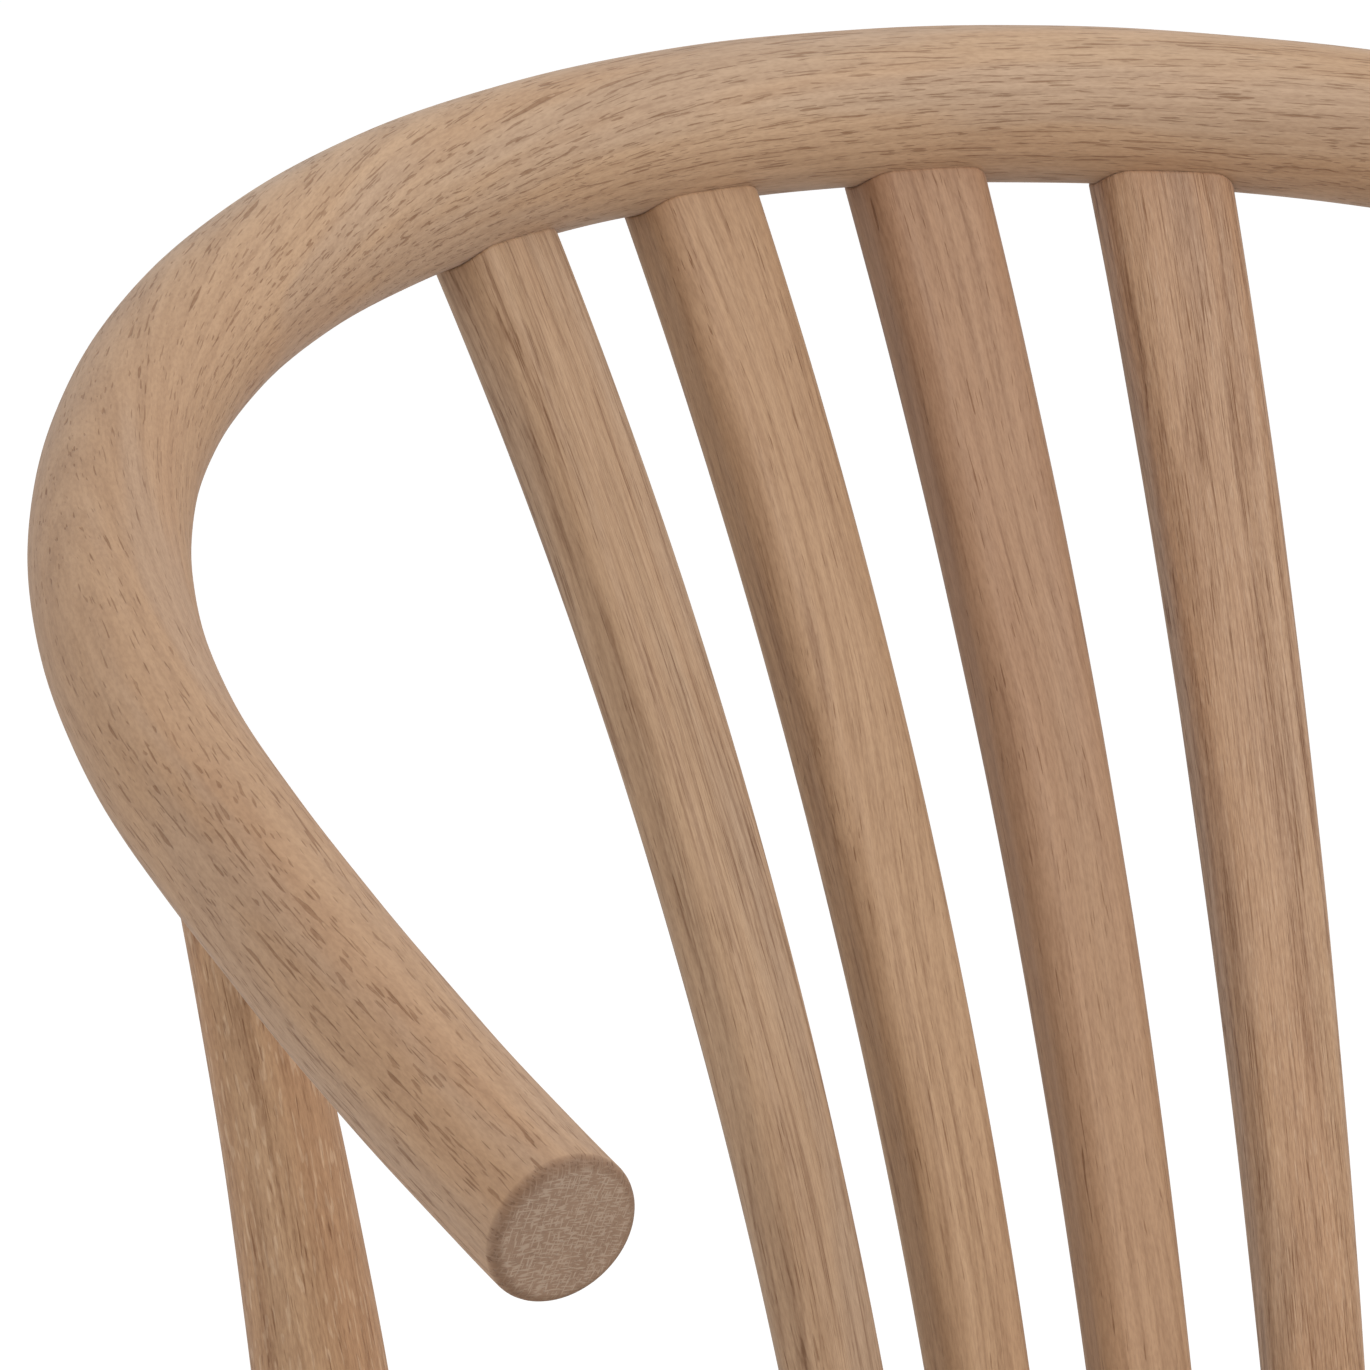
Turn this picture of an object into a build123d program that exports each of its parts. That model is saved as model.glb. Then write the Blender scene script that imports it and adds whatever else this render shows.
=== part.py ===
from build123d import *
from math import asin, atan, cos, degrees, radians, sin, tan
import os

# A Windsor dining armchair in oak: one bent round rail makes both arms and the
# top of the back, four bent slats fan down from it into a dished wooden seat,
# two posts carry the arms, and four splayed legs are tied by an H of stretchers.
# Millimetres, +Z up, the sitter faces -Y, the origin is on the floor under the
# middle of the chair's box.

# Driving sizes of the whole chair
overall_depth = 540.0
seat_height = 450.0
rail_rise = 335.0          # seat top to the rail's centre at the middle of the back

# Bent rail
rail_dia = 29.2
hoop_radius = 270.0        # centreline of the round back, in the rail's own plane
hoop_tilt = 21.2           # degrees that the rail's plane falls towards the arm tips
hoop_bend = 79.4           # degrees of the round back on each side
arm_length = 146.0
arm_radius = 1010.0        # slow inward curve of each arm
tip_round = 2.5

# Back slats
slat_pitch = 10.9          # degrees of the round back between slats
slat_top_width = 26.3
slat_foot_width = 14.5
slat_thick = 14.3
slat_edge_round = 5.3
slat_bend_radius = 850.0
slat_top_lean = 30.2       # degrees off upright where a slat meets the rail
slat_set_back = 3.2        # slat's centre behind the rail's centre
slat_tenon_dia = 11.0
slat_foot_tenon = 21.0
tenon_past_centre = 4.0    # every upright's top tenon ends this far past the rail's centre

# Arm posts
post_from_tip = 144.0      # along the arm from its tip
post_top_dia = 18.8
post_foot_dia = 34.0
post_bend_radius = 1100.0
post_top_lean = 15.1       # degrees off upright, the post's top standing outwards
post_tenon_dia = 14.0
post_foot_tenon_dia = 20.0
post_foot_tenon = 23.0

# Seat
seat_width = 546.0
seat_back_width = 464.0
seat_front_width = 464.0
seat_thick = 36.0
seat_slat_margin = 21.0    # wood behind the middle of the row of slats
seat_front_sag = 26.0      # how far the front corners fall back
seat_back_sag = 62.0
seat_front_round = 60.0
seat_back_round = 70.0
seat_top_round = 6.0
seat_under_bevel = 15.0
dish_depth = 11.0
dish_reach = 186.0         # radius of the dish at the seat's top
dish_gap = 15.0            # flat wood between the dish and the row of slats
board_joint = 87.0         # glue joints each side of the middle

# Dowels across the glue joints of the seat
dowel_dia = 8.0
dowel_length = 40.0
dowel_drop = 21.0          # below the seat's top
dowel_spacing = 130.0
dowel_row_middle = -55.0

# Legs
leg_top_dia = 27.0
leg_belly_dia = 35.0
leg_foot_dia = 23.0
leg_tenon_dia = 22.0
leg_tenon = 24.0
leg_belly_share = 0.62     # height of the fullest turning, share of the leg
front_leg_side_inset = 83.0    # seat's widest side in to the leg's axis
front_leg_inset = 78.0         # seat's front edge back to the leg's axis
front_splay = 44.0             # foot outside the leg's top
front_rake = 48.0              # foot ahead of the leg's top
back_leg_side_inset = 74.0     # seat's back corner in to the leg's axis
back_leg_inset = 75.0          # seat's back edge forward to the leg's axis
back_splay = 52.0
back_rake = 112.0              # foot behind the leg's top

# Stretchers
stretcher_height = 196.0
stretcher_dia = 23.0
stretcher_end_dia = 15.0
stretcher_past_axis = 4.0  # tenon end beyond the leg's axis
cross_dia = 21.0
cross_end_dia = 13.0
cross_past_axis = 2.0

# Glides under the feet
glide_dia = 19.0
glide_thick = 4.0
glide_pin_dia = 3.0
glide_pin = 12.0

# Fits
glue_gap = 0.1             # around every tenon and under every coped shoulder
tenon_room = 0.8           # spare depth at a blind hole's end
tenon_root = 18.0          # how far a tenon is rooted in its own piece
overrun = 3.0              # cutters past the face that they cut

# Places that follow from the sizes
rail_r = rail_dia / 2
crest = Vector(0, overall_depth / 2 - rail_r, seat_height + rail_rise)
seat_front_y = -overall_depth / 2
seat_under = seat_height - seat_thick
rail_up = (0, -sin(radians(hoop_tilt)), cos(radians(hoop_tilt)))
rail_plane = Plane(crest, x_dir=(1, 0, 0), z_dir=rail_up)
arm_turn = degrees(arm_length / arm_radius)


def rod(start, end, radius):
    """A round bar from one point to another."""
    along = end - start
    bar = Cylinder(radius, along.length, align=(Align.CENTER, Align.CENTER, Align.MIN))
    return Plane(start, z_dir=along) * bar


def slab(low, high):
    """A flat block over the whole chair between two heights."""
    block = Box(2 * seat_width, 2 * overall_depth, high - low, align=(Align.CENTER, Align.CENTER, Align.MIN))
    return Pos(0, 0, low) * block


def on_hoop(angle):
    """A point of the round back, by its angle from the middle, positive to the left."""
    turn = radians(angle)
    return rail_plane.from_local_coords(Vector(-hoop_radius * sin(turn), hoop_radius * (cos(turn) - 1), 0))


def rail_line():
    """The rail's centreline: the round back with a slowly curving arm at each end."""
    back = CenterArc((0, -hoop_radius), hoop_radius, 90 - hoop_bend, 2 * hoop_bend)
    left = JernArc(back @ 1, back % 1, arm_radius, arm_turn)
    right = mirror(left, about=Plane.YZ)
    return back, left, right


def rail_bar(radius):
    """The whole rail as a bar of the given radius, mortises not cut."""
    back, left, right = rail_line()
    path = rail_plane.from_local_coords(Wire([right.edge(), back.edge(), left.edge()]))
    section = Plane(path @ 0, z_dir=path % 0) * Circle(radius)
    return sweep(section, path=path)


def arm_point(side, from_tip):
    """A point on an arm's centreline, measured back from the tip, side -1 on the left."""
    left = rail_line()[1]
    flat = left @ (1 - from_tip / arm_length)
    return rail_plane.from_local_coords(Vector(-side * flat.X, flat.Y, 0))


class Bend:
    """The centreline of a bent upright, an arc in the upright plane in which it leans."""

    def __init__(self, top, outward, lean, radius, set_back):
        self.outward = outward
        self.radius = radius
        self.lean = lean
        slope = radians(lean)
        self.middle = top + (outward * cos(slope) - Vector(0, 0, 1) * sin(slope)) * (radius + set_back)
        self.foot_lean = degrees(asin((seat_height - self.middle.Z) / radius))

    def point(self, lean):
        slope = radians(lean)
        return self.middle + (Vector(0, 0, 1) * sin(slope) - self.outward * cos(slope)) * self.radius

    def along(self, lean):
        slope = radians(lean)
        return Vector(0, 0, 1) * cos(slope) + self.outward * sin(slope)


def slat_bend(index):
    """Slats lean square to the rail, as seen from above."""
    angle = index * slat_pitch
    plan = atan(tan(radians(angle)) * cos(radians(hoop_tilt)))
    outward = Vector(-sin(plan), cos(plan), 0)
    return Bend(on_hoop(angle), outward, slat_top_lean, slat_bend_radius, slat_set_back)


def post_bend(side):
    """Arm posts lean straight outwards."""
    return Bend(arm_point(side, post_from_tip), Vector(side, 0, 0), post_top_lean, post_bend_radius, 0)


def top_tenon(bend, radius, extra=0):
    """The round tenon that goes up through the rail's underside to just past its centre."""
    start = bend.point(bend.lean) - bend.along(bend.lean) * (rail_r + tenon_root)
    end = bend.point(bend.lean) + bend.along(bend.lean) * (tenon_past_centre + extra)
    return rod(start, end, radius)


def foot_tenon(bend, radius, length, extra=0):
    """The round tenon that goes down into the seat."""
    start = bend.point(bend.foot_lean) + bend.along(bend.foot_lean) * tenon_root
    end = bend.point(bend.foot_lean) - bend.along(bend.foot_lean) * (length + extra)
    return rod(start, end, radius)


def seat_back_y():
    """The seat's back edge, behind the middle of the row of slats."""
    middle = slat_bend(0)
    return middle.point(middle.foot_lean).Y + seat_slat_margin


def slat_blank(bend):
    """A bent flat bar that narrows to its foot, long edges rounded."""
    side_plane = Plane(bend.middle, x_dir=bend.outward, z_dir=bend.outward.cross(Vector(0, 0, 1)))
    low = bend.foot_lean - degrees(overrun / bend.radius)
    turn = bend.lean - low
    outer = CenterArc((0, 0), bend.radius + slat_thick / 2, 180 - bend.lean, turn)
    inner = CenterArc((0, 0), bend.radius - slat_thick / 2, 180 - bend.lean, turn)
    ends = [Line(outer @ 0, inner @ 0), Line(outer @ 1, inner @ 1)]
    band = side_plane * make_face([outer, inner] + ends)
    bar = extrude(band, amount=slat_top_width, both=True)
    rise = bend.point(bend.lean).Z - seat_height
    spread = (slat_top_width - slat_foot_width) / 2 / rise * rail_r
    low_half = slat_foot_width / 2 - spread
    high_half = slat_top_width / 2 + spread
    taper = Polygon(
        (-low_half, -rail_r), (low_half, -rail_r), (high_half, rise + rail_r), (-high_half, rise + rail_r),
        align=None)
    foot = bend.point(bend.foot_lean)
    front_plane = Plane(foot, x_dir=bend.outward.cross(Vector(0, 0, 1)), z_dir=-bend.outward)
    bar = bar & extrude(front_plane * taper, amount=bend.radius, both=True)
    long_edges = [edge for edge in bar.edges() if edge.length > rise / 2]
    return fillet(long_edges, slat_edge_round)


def make_slat(index, grown_rail):
    bend = slat_bend(index)
    body = slat_blank(bend) & slab(seat_height, crest.Z + rail_dia)
    body = body - grown_rail
    tenon_r = slat_tenon_dia / 2
    return body + top_tenon(bend, tenon_r) + foot_tenon(bend, tenon_r, slat_foot_tenon)


def make_post(side, grown_rail):
    """A bent round post that swells steadily from the arm to the seat."""
    bend = post_bend(side)
    low = bend.foot_lean - degrees(post_foot_dia / 2 / bend.radius)
    steps = 6
    rings = []
    for step in range(steps + 1):
        share = step / steps
        lean = low + (bend.lean - low) * share
        radius = (post_foot_dia + (post_top_dia - post_foot_dia) * share) / 2
        rings.append(Plane(bend.point(lean), x_dir=(0, 1, 0), z_dir=bend.along(lean)) * Circle(radius))
    body = loft(rings) & slab(seat_height, crest.Z)
    body = body - grown_rail
    body = body + top_tenon(bend, post_tenon_dia / 2)
    return body + foot_tenon(bend, post_foot_tenon_dia / 2, post_foot_tenon)


def make_rail(slat_bends, post_bends):
    """The bent rail with rounded arm tips and blind round mortises underneath."""
    rail = rail_bar(rail_r)
    tips = [arm_point(side, 0) for side in (-1, 1)]
    ends = [
        edge for edge in rail.edges()
        if min((edge.arc_center - tip).length for tip in tips) < tip_round]
    rail = fillet(ends, tip_round)
    for bend in slat_bends:
        rail = rail - top_tenon(bend, slat_tenon_dia / 2 + glue_gap, tenon_room)
    for bend in post_bends:
        rail = rail - top_tenon(bend, post_tenon_dia / 2 + glue_gap, tenon_room)
    return rail


# Legs and stretchers
def leg_ends(side, row):
    """Where a leg's axis meets the floor and the underside of the seat."""
    if row == "front":
        top_x = seat_width / 2 - front_leg_side_inset
        top_y = seat_front_y + front_leg_inset
        splay = front_splay
        rake = -front_rake
    else:
        top_x = seat_back_width / 2 - back_leg_side_inset
        top_y = seat_back_y() - back_leg_inset
        splay = back_splay
        rake = back_rake
    foot = Vector(side * (top_x + splay), top_y + rake, 0)
    return foot, Vector(side * top_x, top_y, seat_under)


def on_leg(side, row, height):
    foot, top = leg_ends(side, row)
    return foot + (top - foot) * (height / seat_under)


def turned(start, end, start_r, belly_r, end_r, belly_share, spare):
    """A turned bar, one arc through its ends and its belly, with a plain stub at each end."""
    length = (end - start).length
    outline = ThreePointArc((start_r, 0), (belly_r, length * belly_share), (end_r, length))
    far = length + spare
    foot = Polyline((0, -spare), (start_r, -spare), (start_r, 0))
    head = Polyline((end_r, length), (end_r, far), (0, far), (0, -spare))
    shape = Plane.XZ * make_face([foot.edges(), outline.edges(), head.edges()])
    return Plane(start, z_dir=end - start) * revolve(shape, Axis.Z)


def leg_tenon_bar(side, row, radius, extra=0):
    foot, top = leg_ends(side, row)
    along = (top - foot).normalized()
    return rod(top - along * tenon_root, top + along * (leg_tenon + extra), radius)


def side_stretcher_ends(side):
    """Tenon ends of a side stretcher, a little past the axes of its two legs."""
    front = on_leg(side, "front", stretcher_height)
    back = on_leg(side, "back", stretcher_height)
    along = (back - front).normalized()
    return front - along * stretcher_past_axis, back + along * stretcher_past_axis


def side_stretcher_middle(side):
    front, back = side_stretcher_ends(side)
    return (front + back) / 2


def side_stretcher_hole(side):
    front, back = side_stretcher_ends(side)
    along = (back - front).normalized() * tenon_room
    return rod(front - along, back + along, stretcher_end_dia / 2 + glue_gap)


def cross_ends():
    left = side_stretcher_middle(-1)
    right = side_stretcher_middle(1)
    along = (right - left).normalized() * cross_past_axis
    return left - along, right + along


def cross_hole():
    left, right = cross_ends()
    along = (right - left).normalized() * tenon_room
    return rod(left - along, right + along, cross_end_dia / 2 + glue_gap)


def tapered_bar(start, end, root, end_dia, belly_dia):
    """A stretcher: plain round tenons at both ends and a full middle."""
    along = (end - start).normalized() * root
    return turned(start + along, end - along, end_dia / 2, belly_dia / 2, end_dia / 2, 1 / 2, root)


def glide_place(side, row):
    """Middle of the foot where it is cut level above its glide."""
    return on_leg(side, row, glide_thick)


def glide_pin_bar(side, row, radius, extra=0):
    place = glide_place(side, row)
    return rod(place - Vector(0, 0, glide_thick / 2), place + Vector(0, 0, glide_pin + extra), radius)


def make_leg(side, row):
    foot, top = leg_ends(side, row)
    belly_r = leg_belly_dia / 2
    body = turned(foot, top, leg_foot_dia / 2, belly_r, leg_top_dia / 2, leg_belly_share, leg_foot_dia)
    body = body & slab(glide_thick, seat_under)
    body = body + leg_tenon_bar(side, row, leg_tenon_dia / 2)
    body = body - side_stretcher_hole(side)
    return body - glide_pin_bar(side, row, glide_pin_dia / 2 + glue_gap, tenon_room)


def make_side_stretcher(side):
    front, back = side_stretcher_ends(side)
    root = stretcher_past_axis + leg_belly_dia / 2 + overrun
    return tapered_bar(front, back, root, stretcher_end_dia, stretcher_dia) - cross_hole()


def make_cross_stretcher():
    left, right = cross_ends()
    root = cross_past_axis + stretcher_dia / 2 + overrun
    return tapered_bar(left, right, root, cross_end_dia, cross_dia)


def make_glides():
    """A round glide with its pin under each foot, four alike in one node."""
    glides = []
    for row in ("front", "back"):
        for side in (-1, 1):
            place = glide_place(side, row)
            disc = rod(place - Vector(0, 0, glide_thick), place, glide_dia / 2)
            glides.append((disc + glide_pin_bar(side, row, glide_pin_dia / 2)).solid())
    return Compound(children=glides)


# Seat
def seat_outline():
    """Curved front, sides full at the middle, and a back curved round the slats."""
    back_y = seat_back_y()
    front = ThreePointArc(
        (-seat_front_width / 2, seat_front_y + seat_front_sag), (0, seat_front_y),
        (seat_front_width / 2, seat_front_y + seat_front_sag))
    back = ThreePointArc(
        (-seat_back_width / 2, back_y - seat_back_sag), (0, back_y),
        (seat_back_width / 2, back_y - seat_back_sag))
    middle_y = post_bend(1).point(post_bend(1).foot_lean).Y
    sides = [
        ThreePointArc(
            (side * seat_front_width / 2, seat_front_y + seat_front_sag),
            (side * seat_width / 2, (seat_front_y + middle_y) / 2),
            (side * seat_back_width / 2, back_y - seat_back_sag))
        for side in (-1, 1)]
    face = make_face([front, back] + sides)
    face = fillet(face.vertices().sort_by(Axis.Y)[:2], seat_front_round)
    return fillet(face.vertices().sort_by(Axis.Y)[-2:], seat_back_round)


def make_seat(slat_bends, post_bends):
    """The whole seat before it is parted into its boards."""
    blank = Pos(0, 0, seat_under) * extrude(seat_outline(), amount=seat_thick)
    top_edges = blank.faces().sort_by(Axis.Z)[-1].edges()
    blank = fillet(top_edges, seat_top_round)
    under_edges = blank.faces().sort_by(Axis.Z)[0].edges()
    blank = chamfer(under_edges, seat_under_bevel, seat_under_bevel)
    ball = (dish_reach * dish_reach + dish_depth * dish_depth) / (2 * dish_depth)
    dish_y = seat_back_y() - seat_slat_margin - slat_thick / 2 - dish_gap - dish_reach
    blank = blank - Pos(0, dish_y, seat_height - dish_depth + ball) * Sphere(ball)
    for bend in slat_bends:
        blank = blank - foot_tenon(bend, slat_tenon_dia / 2 + glue_gap, slat_foot_tenon, tenon_room)
    for bend in post_bends:
        blank = blank - foot_tenon(bend, post_foot_tenon_dia / 2 + glue_gap, post_foot_tenon, tenon_room)
    for row in ("front", "back"):
        for side in (-1, 1):
            blank = blank - leg_tenon_bar(side, row, leg_tenon_dia / 2 + glue_gap, tenon_room)
    return blank


def dowel_bars(radius, extra=0):
    """Three dowels across each glue joint, at one depth under the seat's top."""
    bars = []
    for side in (-1, 1):
        for place in (-1, 0, 1):
            row_y = dowel_row_middle + place * dowel_spacing
            middle = Vector(side * board_joint, row_y, seat_height - dowel_drop)
            half = Vector(dowel_length / 2 + extra, 0, 0)
            bars.append(rod(middle - half, middle + half, radius))
    return bars


def seat_boards(seat):
    for bar in dowel_bars(dowel_dia / 2 + glue_gap, tenon_room):
        seat = seat - bar
    span = 2 * board_joint
    boards = {}
    for name, place in (("left", -1), ("middle", 0), ("right", 1)):
        cutter = Pos(place * span, 0, seat_height) * Box(span, 2 * overall_depth, 2 * seat_thick)
        boards["seat_board_" + name] = seat & cutter
    return boards


def build():
    slat_names = ("right_outer", "right_inner", "left_inner", "left_outer")
    middle = (len(slat_names) - 1) / 2
    slat_bends = [slat_bend(place - middle) for place in range(len(slat_names))]
    post_bends = [post_bend(side) for side in (-1, 1)]
    grown_rail = rail_bar(rail_r + glue_gap)
    nodes = {"bent_rail": make_rail(slat_bends, post_bends)}
    for place, name in enumerate(slat_names):
        nodes["back_slat_" + name] = make_slat(place - middle, grown_rail)
    for side, name in ((-1, "left"), (1, "right")):
        nodes["arm_post_" + name] = make_post(side, grown_rail)
        nodes["front_leg_" + name] = make_leg(side, "front")
        nodes["back_leg_" + name] = make_leg(side, "back")
        nodes["side_stretcher_" + name] = make_side_stretcher(side)
    nodes["cross_stretcher"] = make_cross_stretcher()
    nodes["foot_glides"] = make_glides()
    nodes["seat_dowels"] = Compound(children=[bar.solid() for bar in dowel_bars(dowel_dia / 2)])
    nodes.update(seat_boards(make_seat(slat_bends, post_bends)))
    return nodes


os.makedirs("parts", exist_ok=True)
for node_name, node_shape in build().items():
    export_step(node_shape, "parts/" + node_name + ".step")
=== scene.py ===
import logging
from dataclasses import dataclass
from enum import Enum

import bpy
import numpy as np
from mathutils import Matrix, Vector


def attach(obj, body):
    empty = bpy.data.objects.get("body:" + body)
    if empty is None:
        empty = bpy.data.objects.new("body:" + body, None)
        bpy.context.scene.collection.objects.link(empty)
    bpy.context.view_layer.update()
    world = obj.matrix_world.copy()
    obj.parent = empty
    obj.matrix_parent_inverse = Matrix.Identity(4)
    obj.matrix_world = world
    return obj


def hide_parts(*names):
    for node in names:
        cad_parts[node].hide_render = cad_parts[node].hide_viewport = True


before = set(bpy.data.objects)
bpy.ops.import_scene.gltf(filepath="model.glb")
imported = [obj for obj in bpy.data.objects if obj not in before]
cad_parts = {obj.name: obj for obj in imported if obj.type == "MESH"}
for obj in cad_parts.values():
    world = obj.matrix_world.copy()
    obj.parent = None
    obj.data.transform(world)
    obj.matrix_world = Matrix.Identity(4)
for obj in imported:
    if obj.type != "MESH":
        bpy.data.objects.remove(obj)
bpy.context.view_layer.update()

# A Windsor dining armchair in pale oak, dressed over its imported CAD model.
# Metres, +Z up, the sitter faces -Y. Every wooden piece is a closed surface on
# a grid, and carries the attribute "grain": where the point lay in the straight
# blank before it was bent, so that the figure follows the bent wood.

log = logging.getLogger("armchair")
Array = np.ndarray
Piece = bpy.types.Object
Socket = bpy.types.NodeSocket
Triple = tuple[float, float, float]
Colour = Triple
TURN = 2.0 * np.pi
QUARTER = np.pi / 2.0
SIDES = ((-1, "left"), (1, "right"))


# Small sums on arrays
def row(*numbers: float) -> Array:
    """One vector of plain numbers."""
    return np.array(numbers, dtype=float)


RIGHT, UP = row(1.0, 0.0, 0.0), row(0.0, 0.0, 1.0)


def unit(vectors: Array) -> Array:
    """Vectors divided by their own lengths."""
    return vectors / np.linalg.norm(vectors, axis=-1, keepdims=True)


def round_angles(count: int) -> Array:
    """Angles evenly spaced round a circle."""
    return np.linspace(0.0, TURN, count, endpoint=False)


def square_to(axis: Array) -> tuple[Array, Array]:
    """Two directions square to an axis and to each other.

    Args:
        axis: A unit vector.

    Returns:
        The level one, which is the axis crossed with up, and the one square to both.
    """
    level = unit(np.cross(axis, row(0.0, 1.0, 0.0) if abs(axis[2]) > 0.99 else UP))
    return level, np.cross(axis, level)


def circle_through(a: Array, b: Array, c: Array) -> tuple[Array, float]:
    """The circle through three points.

    Args:
        a: First point.
        b: Second point.
        c: Third point.

    Returns:
        Its centre and radius, from the two lines of equal distance.
    """
    centre = np.linalg.solve(2.0 * np.stack([b - a, c - a]), row(b @ b - a @ a, c @ c - a @ a))
    return centre, float(np.linalg.norm(centre - a))


def slow_waves(along: Array, around: Array, size: float, seed: float) -> Array:
    """Hand-shaped unevenness: a sum of a few slow sines along and around a bar.

    Args:
        along: Distance along the bar in metres.
        around: Angle round the bar in radians.
        size: Height of the unevenness, in metres or as a share.
        seed: Shifts the sines, so that no two pieces are alike.

    Returns:
        What to add to the bar's radius or to its share of 1.
    """
    return size * (
        0.5 * np.sin(37.0 * along + 1.7 * seed) * np.cos(around + 0.6 * seed)
        + 0.3 * np.sin(83.0 * along + 2.9 * seed + 2.0 * around)
        + 0.2 * np.cos(151.0 * along - 3.0 * around + seed))


@dataclass(frozen=True)
class Blank:
    """Where a piece lay in the log: its turn and its distance from the pith."""

    turn: float
    from_pith: float
    aside: float
    start: float

    def grain(self, along: Array, across: Array, through: Array) -> Array:
        """The point of the log for each point of a piece.

        The cross-section is turned by the blank's angle and moved off the pith.

        Args:
            along: Distance along the piece.
            across: First distance in the cross-section.
            through: Second distance in the cross-section.

        Returns:
            Along, and the two distances from the pith, on a last axis of three.
        """
        cos, sin = np.cos(self.turn), np.sin(self.turn)
        first = across * cos - through * sin + self.aside
        second = across * sin + through * cos + self.from_pith
        return np.stack(np.broadcast_arrays(along + self.start, first, second), axis=-1)


# Closed surfaces
@dataclass
class Skin:
    """A closed surface: rings of points along a piece, with a pole at each end."""

    name: str
    points: Array
    grain: Array
    end_grain: Array | float = 0.0
    open_pores: Array | float = 1.0
    crease: float = 38.0

    def with_poles(self, values: Array | float) -> Array:
        """One number for each ring point, then one for each pole."""
        spread = np.broadcast_to(values, self.points.shape[:2])
        return np.concatenate([spread.ravel(), spread[[0, -1], 0]])

    def faces(self, points: Array) -> tuple[Array, Array]:
        """Quads from ring to ring and a fan of triangles at each pole, all outwards.

        They point outwards where the signed volume under them, a third of the sum
        of corner products, is positive. Otherwise each is turned round.

        Args:
            points: Ring points, then poles.

        Returns:
            Quads and triangles as rows of point numbers.
        """
        rings, around = self.points.shape[:2]
        here = np.arange(around)
        beside = (here + 1) % around
        low = np.arange(rings - 1)[:, None] * around
        high = low + around
        quads = np.stack([low + here, low + beside, high + beside, high + here], axis=-1).reshape(-1, 4)
        last, pole = (rings - 1) * around, np.full(around, rings * around)
        fans = np.concatenate([
            np.stack([pole, beside, here], axis=-1),
            np.stack([pole + 1, last + here, last + beside], axis=-1)])
        corners = points[np.concatenate([fans, quads[:, :3], quads[:, [0, 2, 3]]])]
        if np.einsum("ij,ij->", corners[:, 0], np.cross(corners[:, 1], corners[:, 2])) < 0.0:
            return quads[:, ::-1], fans[:, ::-1]
        return quads, fans

    def mesh(self) -> Piece:
        """Puts the surface and its attributes into a new mesh.

        Returns:
            The new object, at the origin.
        """
        points = np.concatenate([self.points.reshape(-1, 3), self.points[[0, -1]].mean(axis=1)])
        grain = np.concatenate([self.grain.reshape(-1, 3), self.grain[[0, -1]].mean(axis=1)])
        quads, fans = self.faces(points)
        loops = np.concatenate([quads.ravel(), fans.ravel()]).astype(np.int32)
        counts = np.concatenate([np.full(len(quads), 4), np.full(len(fans), 3)])
        starts = np.concatenate([[0], np.cumsum(counts)[:-1]]).astype(np.int32)
        mesh = bpy.data.meshes.new(self.name)
        mesh.vertices.add(len(points))
        mesh.loops.add(len(loops))
        mesh.polygons.add(len(starts))
        mesh.vertices.foreach_set("co", points.astype(np.float32).ravel())
        mesh.loops.foreach_set("vertex_index", loops)
        mesh.polygons.foreach_set("loop_start", starts)
        mesh.polygons.foreach_set("use_smooth", np.ones(len(starts), dtype=bool))
        mesh.update(calc_edges=True)
        for name, kind, key, values in (
                ("grain", "FLOAT_VECTOR", "vector", grain),
                ("end_grain", "FLOAT", "value", self.with_poles(self.end_grain)),
                ("open_pores", "FLOAT", "value", self.with_poles(self.open_pores))):
            layer = mesh.attributes.new(name, kind, "POINT")
            layer.data.foreach_set(key, values.astype(np.float32).ravel())
        mesh.validate()
        mesh.set_sharp_from_angle(angle=np.radians(self.crease))
        piece = bpy.data.objects.new(self.name, mesh)
        bpy.context.scene.collection.objects.link(piece)
        return piece

    def dress(self, finish: "OakFinish", slot: str, *nodes: str) -> None:
        """Makes the mesh, gives it its finish and lets it stand for its CAD nodes.

        Args:
            finish: Its finish.
            slot: The record's material slot; not used.
            nodes: The CAD nodes that it replaces.
        """
        piece = self.mesh()
        piece.data.materials.append(finish.material())
        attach(piece, "root")
        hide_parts(*nodes)
        log.info("%s: %d faces, %s", piece.name, len(piece.data.polygons), finish.name)


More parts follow.
